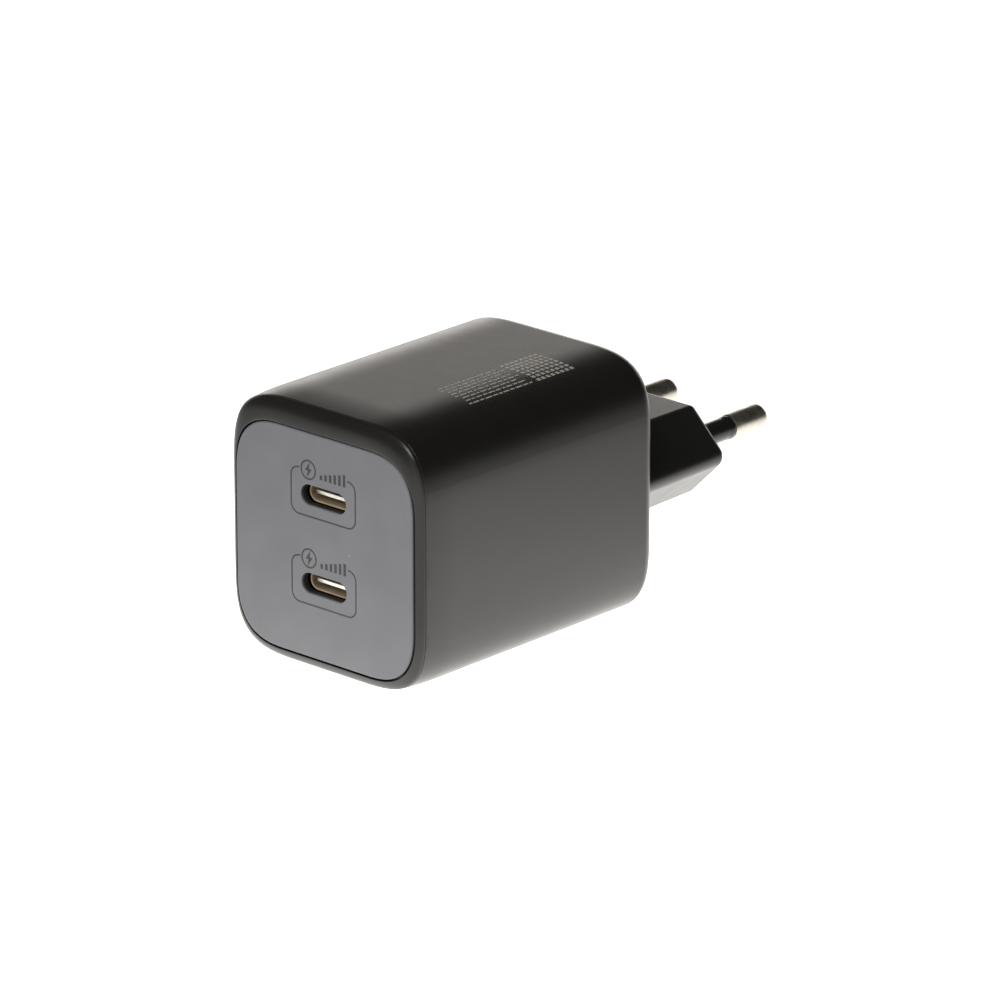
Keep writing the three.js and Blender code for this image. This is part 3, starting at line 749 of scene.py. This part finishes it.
def front_bezel():
    body = Body()
    outer = body_ring(TAPER_INSET, 0)
    inner = panel_ring(-PANEL_GAP - PANEL_LIP, 0)
    rings = []
    for step in range(CROWN_STEPS + 1):
        share = (step / CROWN_STEPS) ** 2
        points = [a.lerp(b, share) for a, b in zip(outer, inner)]
        rings.append([Vector((p.x, front + crown_depth(p.x, p.z), p.z)) for p in points])
    lip_steps = 4
    for step in range(1, lip_steps + 1):
        t = math.pi / 2 * step / lip_steps
        points = panel_ring(-PANEL_GAP - PANEL_LIP * (1 - math.sin(t)), 0)
        drop = PANEL_LIP * (1 - math.cos(t))
        rings.append([
            Vector((p.x, front + crown_depth(q.x, q.z) + drop, p.z)) for p, q in zip(points, inner)
        ])
    pocket = panel_high.y + PANEL_POCKET_GAP
    ledge_rear = pocket + LEDGE_THICKNESS
    skirt_inset = RIM + FIT_GAP
    rings += [
        panel_ring(-PANEL_GAP, pocket),
        panel_ring(LEDGE, pocket),
        panel_ring(LEDGE, ledge_rear),
        body_ring(skirt_inset + SKIRT, ledge_rear),
        body_ring(skirt_inset + SKIRT, skirt_end),
        body_ring(skirt_inset, skirt_end),
        body_ring(skirt_inset, front + SEAM_DEPTH),
    ]
    body.loft(rings, closed=True)
    return body


def front_panel():
    body = Body()
    steps = 5
    rings = []
    for step in range(steps + 1):
        t = math.pi / 2 * step / steps
        inset = PANEL_EDGE * (1 - math.sin(t))
        rings.append(panel_ring(inset, panel_low.y + PANEL_EDGE * (1 - math.cos(t))))
    rings.append(panel_ring(0, panel_high.y))
    face, back = body.loft(rings)
    face_holes, back_holes = [], []
    for middle in PORTS.values():
        walls = []
        for step in range(4):
            t = math.pi / 2 * step / 3
            growth = SLOT_EDGE * (1 - math.sin(t))
            outline = slot_outline(SLOT_WIDTH + 2 * growth, SLOT_HEIGHT + 2 * growth)
            walls.append(at_depth(outline, panel_low.y + SLOT_EDGE * (1 - math.cos(t)), middle))
        walls.append(at_depth(slot_outline(SLOT_WIDTH, SLOT_HEIGHT), panel_high.y, middle))
        near, far = body.loft(walls)
        face_holes.append(near)
        back_holes.append(far)
    body.cap(face, *face_holes)
    body.cap(back, *back_holes)
    return body


# ---- plug ---------------------------------------------------------------------------------------

def plug_outline(growth):
    """Six-sided outline with rounded corners, grown by the same amount on every side."""
    half_width = PLUG_SHARP_HALF + growth * math.sqrt(2)
    half_height = PLUG_HALF_HEIGHT + growth
    flat_end = half_width - half_height
    corners = [
        (half_width, 0),
        (flat_end, half_height),
        (-flat_end, half_height),
        (-half_width, 0),
        (-flat_end, -half_height),
        (flat_end, -half_height),
    ]
    point = max(PLUG_POINT_RADIUS + growth, PLUG_SMALLEST_RADIUS)
    bevel = max(PLUG_BEVEL_RADIUS + growth, PLUG_SMALLEST_RADIUS)
    return rounded_polygon(corners, [point, bevel, bevel, point, bevel, bevel])


def pin_centre(side, y):
    lean = (PIN_SPACING - PIN_TIP_SPACING) / 2 / pin_length
    return side * (PIN_SPACING / 2 - lean * (y - plug_end))


def pin_ring(side, radius, y):
    centre = pin_centre(side, y)
    return [Vector((centre + u, y, body_middle + v)) for u, v in circle(radius)]


def plug_block():
    body = Body()
    flange_rear = rear_inside - FIT_GAP
    corners = rounded_polygon(rectangle(*FLANGE_SIZE), [FLANGE_CORNER] * 4)
    flange, neck = [], []
    room = body_width / 2 - WALL - FIT_GAP
    for point in plug_outline(0):
        direction = point.normalized()
        reach = max(point.length + HOLE_GAP, outline_reach(corners, direction))
        limit = room / max(abs(direction.x), 0.01)
        flange.append(direction * min(reach, limit))
        neck.append(direction * min(point.length, limit))
    rings = [at_depth(flange, y, body_middle) for y in (flange_low.y, flange_rear)]
    rings += [at_depth(neck, y, body_middle) for y in (flange_rear, rear_inside + HOLE_GAP)]
    steps = 8
    profile = [(0, rear_inside + HOLE_GAP), (0, body_rear), (0, (body_rear + plug_end) / 2)]
    for step in range(steps + 1):
        t = math.pi / 2 * step / steps
        profile.append((PLUG_EDGE * (1 - math.cos(t)), plug_end - PLUG_EDGE * (1 - math.sin(t))))
    for inset, y in profile:
        scale = 1 - PLUG_DRAFT * max(0, y - body_rear) / plug_length
        rings.append(at_depth([point * scale for point in plug_outline(-inset)], y, body_middle))
    flange_front, face = body.loft(rings)
    bores_front, bores_face = [], []
    wide_bore = PIN_RADIUS + BORE_GAP
    bore = SLEEVE_RADIUS + HOLE_GAP
    for side in (-1, 1):
        low, high = body.loft([
            pin_ring(side, wide_bore, flange_low.y),
            pin_ring(side, wide_bore, plug_end - BORE_MOUTH),
            pin_ring(side, bore, plug_end - BORE_MOUTH),
            pin_ring(side, bore, plug_end - BORE_RIM),
            pin_ring(side, bore + 0.3 * BORE_RIM, plug_end - 0.3 * BORE_RIM),
            pin_ring(side, bore + BORE_RIM, plug_end),
        ])
        bores_front.append(low)
        bores_face.append(high)
    body.cap(flange_front, *bores_front)
    body.cap(face, *bores_face)
    return body


def turned_pin(side, profile):
    """A turned part on the pin's axis: profile points are (radius, y from the plug's end face)."""
    body = Body()
    first, last = body.loft([pin_ring(side, radius, plug_end + along) for radius, along in profile])
    return body, first, last


def plug_pin(side):
    head = pin_head_low.y - plug_end
    tip = [
        (PIN_RADIUS - PIN_TIP_ROUND + PIN_TIP_ROUND * math.cos(math.radians(a)),
         pin_length - PIN_TIP_ROUND + PIN_TIP_ROUND * math.sin(math.radians(a)))
        for a in range(0, 91, 9)
    ]
    body, first, last = turned_pin(side, [
        (PIN_HEAD_RADIUS, head),
        (PIN_HEAD_RADIUS, head + PIN_HEAD_THICKNESS),
        (PIN_RADIUS, head + PIN_HEAD_THICKNESS),
        (PIN_RADIUS, PIN_SHOULDER),
        (PIN_NECK, PIN_SHOULDER),
        (PIN_NECK, SLEEVE_LENGTH + PIN_COLLAR[0][1]),
        *((PIN_RADIUS + growth, SLEEVE_LENGTH + along) for growth, along in PIN_COLLAR),
        *tip,
    ])
    body.cap(first)
    body.cap(last)
    return body


def pin_sleeve(side):
    bore = PIN_NECK + SLEEVE_FIT
    flare = PIN_RADIUS - SLEEVE_STEP
    body = Body()
    start = sleeve_low.y - plug_end
    profile = [(bore, start), (SLEEVE_RADIUS, start), (SLEEVE_RADIUS, SLEEVE_LENGTH - FLARE_START)]
    for step in range(1, 8):
        share = step / 8
        smooth = share * share * (3 - 2 * share)
        profile.append((
            SLEEVE_RADIUS + (flare - SLEEVE_RADIUS) * smooth,
            SLEEVE_LENGTH - FLARE_START + FLARE_LENGTH * share,
        ))
    profile += [
        (flare, SLEEVE_LENGTH - FLARE_START + FLARE_LENGTH),
        (flare, SLEEVE_LENGTH - SLEEVE_ROUND),
        (flare - 0.3 * SLEEVE_ROUND, SLEEVE_LENGTH - 0.3 * SLEEVE_ROUND),
        (flare - SLEEVE_ROUND, SLEEVE_LENGTH),
        (bore, SLEEVE_LENGTH),
    ]
    body.loft([pin_ring(side, radius, plug_end + along) for radius, along in profile], closed=True)
    return body


# ---- USB-C receptacles --------------------------------------------------------------------------

def port_ring(growth, y, middle):
    width = port_high.x - port_low.x + 2 * growth
    height = port_high.z - port_low.z + 2 * growth
    return at_depth(slot_outline(width, height), y, middle)


def usb_shell(middle):
    body = Body()
    lip = PORT_WALL / 2
    rings = [port_ring(0, port_high.y, middle)]
    for step in range(7):
        t = math.pi * step / 6
        growth = -lip + lip * math.cos(t)
        rings.append(port_ring(growth, port_low.y + lip - lip * math.sin(t), middle))
    rings.append(port_ring(-PORT_WALL, port_high.y, middle))
    body.loft(rings, closed=True)
    return body


def soft_box(body, centre, size, edge, steps=3):
    """A box with rounded edges along Y and rounded ends, added to a body."""
    cx, cy, cz = centre
    width, length, height = size
    rings = []
    for end in (-1, 1):
        order = range(steps + 1) if end < 0 else range(steps, -1, -1)
        for step in order:
            t = math.pi / 2 * step / steps
            inset = edge * (1 - math.sin(t))
            y = cy + end * (length / 2 - edge * (1 - math.cos(t)))
            radius = max(edge - inset, 0.05 * edge)
            outline = rounded_polygon(rectangle(width - 2 * inset, height - 2 * inset), [radius] * 4, steps)
            rings.append([Vector((cx + u, y, cz + v)) for u, v in outline])
    first, last = body.loft(rings)
    body.cap(first)
    body.cap(last)


def usb_insulator(middle):
    body = Body()
    back = insulator_high.y
    plug_front = back - INSULATOR_DEPTH
    growth = -PORT_WALL - INSULATOR_GAP
    first, last = body.loft([port_ring(growth, y, middle) for y in (plug_front, back)])
    body.cap(first)
    body.cap(last)
    start = tongue_front + TIP_LENGTH - TIP_OVERLAP
    soft_box(body, (0, (start + plug_front) / 2, middle),
             (TONGUE_WIDTH, plug_front - start, TONGUE_HEIGHT), TONGUE_EDGE)
    root_size = (TONGUE_WIDTH + TONGUE_ROOT_GROWTH, TONGUE_ROOT_LENGTH, TONGUE_HEIGHT + TONGUE_ROOT_GROWTH)
    soft_box(body, (0, plug_front - TONGUE_ROOT_LENGTH / 2, middle), root_size, TONGUE_ROOT_EDGE)
    return body


def usb_tip(middle):
    """Steel front edge of the tongue."""
    body = Body()
    soft_box(body, (0, tongue_front + TIP_LENGTH / 2, middle),
             (TONGUE_WIDTH, TIP_LENGTH, TONGUE_HEIGHT), TIP_EDGE)
    return body


def usb_contacts(middle):
    """Flat contacts that lie in both faces of the tongue."""
    body = Body()
    width, thickness = CONTACT_SIZE
    size = (width, CONTACT_END - CONTACT_START, thickness)
    y = tongue_front + (CONTACT_START + CONTACT_END) / 2
    rise = TONGUE_HEIGHT / 2 + CONTACT_RISE
    for side in (-1, 1):
        for i in range(CONTACT_COUNT):
            x = (i - (CONTACT_COUNT - 1) / 2) * CONTACT_PITCH
            soft_box(body, (x, y, middle + side * rise), size, CONTACT_EDGE, 2)
    return body


# ---- printed marks ------------------------------------------------------------------------------

def plate(body, outlines, lift):
    """A thin plate on a surface. lift(u, v, height) is the point that far above the surface."""
    triangles = fill(outlines)
    flat = [point for outline in outlines for point in outline]
    top = body.ring([lift(u, v, PRINT_LIFT) for u, v in flat])
    bottom = body.ring([lift(u, v, -PRINT_SINK) for u, v in flat])
    for face in triangles:
        body.mesh.faces.new([top[i] for i in face])
        body.mesh.faces.new([bottom[i] for i in reversed(face)])
    start = 0
    for outline in outlines:
        count = len(outline)
        body.skin(top[start:start + count], bottom[start:start + count])
        start += count


def ribbon(path, width):
    """Closed outline of a line of even width along an open path."""
    left, right = [], []
    for i, point in enumerate(path):
        before = path[max(i - 1, 0)]
        after = path[min(i + 1, len(path) - 1)]
        direction = (Vector(after) - Vector(before)).normalized()
        aside = Vector((-direction.y, direction.x)) * width / 2
        left.append(Vector(point) + aside)
        right.append(Vector(point) - aside)
    return left + right[::-1]


def on_panel(middle):
    return lambda u, v, height: Vector((u, panel_low.y - height, middle + v))


def port_frame(middle):
    """Rounded frame line round a port, open along its top for the icon and the bars."""
    right, top = FRAME_WIDTH / 2, FRAME_HEIGHT / 2
    left_end, right_end = FRAME_ENDS
    path = [(-right + FRAME_RADIUS + left_end, top)]
    corners = ((-1, 1, 90), (-1, -1, 180), (1, -1, 270), (1, 1, 0))
    for side_x, side_z, start in corners:
        centre = (side_x * (right - FRAME_RADIUS), side_z * (top - FRAME_RADIUS))
        path += arc(centre, FRAME_RADIUS, start, start + 90, 8)
    path.append((right - FRAME_RADIUS - right_end, top))
    path = [(u, v + FRAME_RISE) for u, v in path]
    body = Body()
    plate(body, [ribbon(path, FRAME_LINE)], on_panel(middle))
    return body


def port_icon(middle):
    """Plain ring with a plain bolt in it."""
    body = Body()
    place = Vector((ICON_X, ICON_RISE))
    ring = [[place + p for p in circle(radius, 40)] for radius in (ICON_RADIUS, ICON_RADIUS - ICON_LINE)]
    plate(body, ring, on_panel(middle))
    plate(body, [[place + Vector(p) * BOLT_HALF_HEIGHT for p in BOLT]], on_panel(middle))
    return body


def port_bars(middle):
    """Row of plain bars that rise from left to right."""
    body = Body()
    left, foot = BAR_START
    for i in range(BAR_COUNT):
        height = BAR_SHORTEST + i * BAR_GROWTH
        centre = Vector((left + i * BAR_PITCH, foot + height / 2))
        plate(body, [[centre + Vector(p) for p in rectangle(BAR_WIDTH, height)]], on_panel(middle))
    return body


def on_top(u, v, height):
    """A point that far above the shell's top face, at x = u and y = v."""
    flat_x = body_width / 2 - CORNER_REACH
    across = max(abs(u) - flat_x, 0) / CORNER_REACH
    fall = CORNER_REACH * (1 - (1 - across ** CORNER_EXPONENT) ** (1 / CORNER_EXPONENT))
    return Vector((u, v, body_middle + body_height / 2 - fall + height))


def label_rows():
    """Faint rows of plain dashes that stand for the fine print."""
    body = Body()
    first_x, first_y = ROW_START
    for row in range(LABEL_ROWS):
        x = first_x - row * ROW_PITCH
        y = first_y + (0.35 * row % 1) * MM
        end = ROW_END - 0.5 * (row % 3) * MM
        dash = 0
        while y < end:
            length = DASH_LENGTHS[(3 * dash + 2 * row) % len(DASH_LENGTHS)]
            centre = Vector((x, y + length / 2))
            plate(body, [[centre + Vector(p) for p in rectangle(DASH_THICKNESS, length)]], on_top)
            y += length + DASH_GAP
            dash += 1
    return body


def label_grid():
    """Plain grid of even dots beside the dashes."""
    body = Body()
    first_x, first_y = DOT_START
    for row in range(LABEL_ROWS):
        for column in range(LABEL_ROWS):
            centre = Vector((first_x - row * DOT_PITCH, first_y + column * DOT_PITCH))
            plate(body, [[centre + Vector(p) for p in rectangle(DOT_SIZE, DOT_SIZE)]], on_top)
    return body


# ---- put the pieces in place --------------------------------------------------------------------

add_piece("shell", housing_shell(), black_plastic, ["housing_shell"])
add_piece("bezel", front_bezel(), black_plastic, ["front_bezel"])
add_piece("panel", front_panel(), grey_plastic, ["front_panel"])
add_piece("plug", plug_block(), plug_plastic, ["plug_block"])
for side, hand in ((-1, "left"), (1, "right")):
    add_piece(f"prong_{hand}", plug_pin(side), nickel, [f"pin_{hand}"])
    add_piece(f"sleeve_{hand}", pin_sleeve(side), sleeve_plastic, [f"pin_sleeve_{hand}"])
for level, middle in PORTS.items():
    add_piece(f"port_shell_{level}", usb_shell(middle), port_steel, [f"usb_shell_{level}"])
    add_piece(f"port_tongue_{level}", usb_insulator(middle), port_insulator,
              [f"usb_insulator_{level}"])
    add_piece(f"port_tip_{level}", usb_tip(middle), tip_steel)
    add_piece(f"port_contacts_{level}", usb_contacts(middle), contact_gold)
    add_piece(f"port_frame_{level}", port_frame(middle), panel_print)
    add_piece(f"port_icon_{level}", port_icon(middle), panel_print)
    add_piece(f"port_bars_{level}", port_bars(middle), panel_print)

add_piece("label_rows", label_rows(), label_print)
add_piece("label_grid", label_grid(), label_print)

for part in frame["record"]["subparts"]:
    node = nodes[part["node"]]
    if not node.hide_render:
        node.data.materials.clear()
        node.data.materials.append(inner_looks[part["material_slot"]])

# ---- floor, light and camera --------------------------------------------------------------------

FLOOR_SIZE = 6.0
FLOOR_DROP = 0.02 * MM
VIEW_AZIMUTH = math.radians(42.50)
VIEW_ELEVATION = math.radians(19.53)
VIEW_DISTANCE = 1.088
VIEW_TARGET = Vector((6.9, -13.16, 21.19)) * MM
VIEW_LENS = 260.8
LAMP_AIM = Vector((0, 0, 20)) * MM
# Glow of the floor, a painted pool of light round the charger, as (millimetres from the origin, strength).
POOL_STOPS = ((45, 2.2), (75, 1.38), (105, 1.1), (150, 1.08), (260, 1.08))
GLOW_SIDE_FALLOFF = (93, 200)  # millimetres to the side, between which the glow falls off
# Brightness of the low band in the sky by the height of the direction, and of each of its two
# bright panels by how closely the direction faces it; a panel is (direction, strength).
SKY_STOPS = ((0.0, 1.0), (0.18, 0.95), (0.27, 0.62), (0.305, 0.1), (0.45, 0.0))
SKY_WIDTH = ((0.6, 0.0), (0.82, 1.0))
SKY_BASE = 0.03
SKY_PANELS = (((-0.676, 0.737, 0), 2.45), ((0.676, -0.737, 0), 0.8))
# Lamps, as (name, direction, distance, size, power, whether reflections show it).
LAMPS = (
    ("overhead", (-0.1, -0.3, 1), 0.8, 0.7, 4.5, False),
    ("front_fill", (-0.3, -1, 0.55), 0.9, 0.8, 8.0, False),
    ("corner_glow", (0.33, -0.6, 0.73), 0.8, 0.34, 2.4, True),
)
WARM_WHITE = (1, 0.976, 0.935, 1)
WARM_SKY = (1, 0.955, 0.9, 1)

floor_data = bpy.data.meshes.new("floor")
floor_data.from_pydata(
    [(x, y, -FLOOR_DROP) for x, y in rectangle(FLOOR_SIZE, FLOOR_SIZE)], [], [(0, 1, 2, 3)])
floor = bpy.data.objects.new("floor", floor_data)
bpy.context.scene.collection.objects.link(floor)
# The floor glows: its emission paints a pool of light round the charger that fades with distance and to
# either side of the view.
floor_look = Look("floor_paper", (0.3, 0.3, 0.3), 0.9, specular=0.1)
floor_look.set("Base Color", floor_look.tint(0.01, 30))
floor_look.shader.inputs["Emission Color"].default_value = WARM_WHITE
painted_light_pool = floor_look.pool(POOL_STOPS)
across_view = (math.cos(VIEW_AZIMUTH), math.sin(VIEW_AZIMUTH), 0)
sideways = floor_look.math("ABSOLUTE", floor_look.along(across_view))
glow_side_falloff = floor_look.spread(sideways, 1.0, 0.25, *GLOW_SIDE_FALLOFF)
floor_look.set("Emission Strength", floor_look.math("MULTIPLY", painted_light_pool, glow_side_falloff))
floor_data.materials.append(floor_look.material)

world = bpy.data.worlds.new("studio")
bpy.context.scene.world = world
world.use_nodes = True
sky = world.node_tree


def sky_node(kind, operation, *inputs):
    node = sky.nodes.new(kind)
    node.operation = operation
    for socket, value in zip(node.inputs, inputs):
        if isinstance(value, bpy.types.NodeSocket):
            sky.links.new(value, socket)
        else:
            socket.default_value = value
    return node


def sky_ramp(value, stops):
    """Smooth curve through (input, output) stops, where inputs run from 0 to 1."""
    node = sky.nodes.new("ShaderNodeValToRGB")
    node.color_ramp.interpolation = "EASE"
    while len(node.color_ramp.elements) < len(stops):
        node.color_ramp.elements.new(0.5)
    for element, (position, level) in zip(node.color_ramp.elements, stops):
        element.position = position
        element.color = (level, level, level, 1)
    sky.links.new(value, node.inputs["Fac"])
    return node.outputs["Color"]


sky_direction = sky.nodes.new("ShaderNodeTexCoord").outputs["Generated"]
sky_split = sky.nodes.new("ShaderNodeSeparateXYZ")
sky.links.new(sky_direction, sky_split.inputs[0])
low_band = sky_ramp(sky_split.outputs["Z"], SKY_STOPS)
sky_level = SKY_BASE
for panel_direction, panel_level in SKY_PANELS:
    facing = sky_node("ShaderNodeVectorMath", "DOT_PRODUCT", sky_direction, panel_direction)
    width = sky_ramp(facing.outputs["Value"], SKY_WIDTH)
    lit = sky_node("ShaderNodeMath", "MULTIPLY", width, panel_level).outputs[0]
    glow = sky_node("ShaderNodeMath", "MULTIPLY", lit, low_band).outputs[0]
    sky_level = sky_node("ShaderNodeMath", "ADD", glow, sky_level).outputs[0]
sky.links.new(sky_level, sky.nodes["Background"].inputs["Strength"])
sky.nodes["Background"].inputs["Color"].default_value = WARM_SKY


def area_light(name, direction, distance, size, power, glossy):
    """A round lamp that shines on LAMP_AIM from a direction, as far off as distance."""
    data = bpy.data.lights.new(name, "AREA")
    data.shape = "DISK"
    data.size = size
    data.energy = power
    light = bpy.data.objects.new(name, data)
    bpy.context.scene.collection.objects.link(light)
    light.location = LAMP_AIM + Vector(direction).normalized() * distance
    light.rotation_euler = Vector(direction).to_track_quat("Z", "Y").to_euler()
    light.visible_glossy = glossy


for lamp in LAMPS:
    area_light(*lamp)

camera_data = bpy.data.cameras.new("camera")
camera_data.lens = VIEW_LENS
camera_data.sensor_width = 36
camera_data.clip_start = 0.01
camera_data.clip_end = 20
camera = bpy.data.objects.new("camera", camera_data)
bpy.context.scene.collection.objects.link(camera)
back = Vector((
    math.sin(VIEW_AZIMUTH) * math.cos(VIEW_ELEVATION),
    -math.cos(VIEW_AZIMUTH) * math.cos(VIEW_ELEVATION),
    math.sin(VIEW_ELEVATION),
))
camera.location = VIEW_TARGET + back * VIEW_DISTANCE
camera.rotation_euler = back.to_track_quat("Z", "Y").to_euler()
bpy.context.scene.camera = camera
bpy.context.scene.view_settings.view_transform = "Standard"
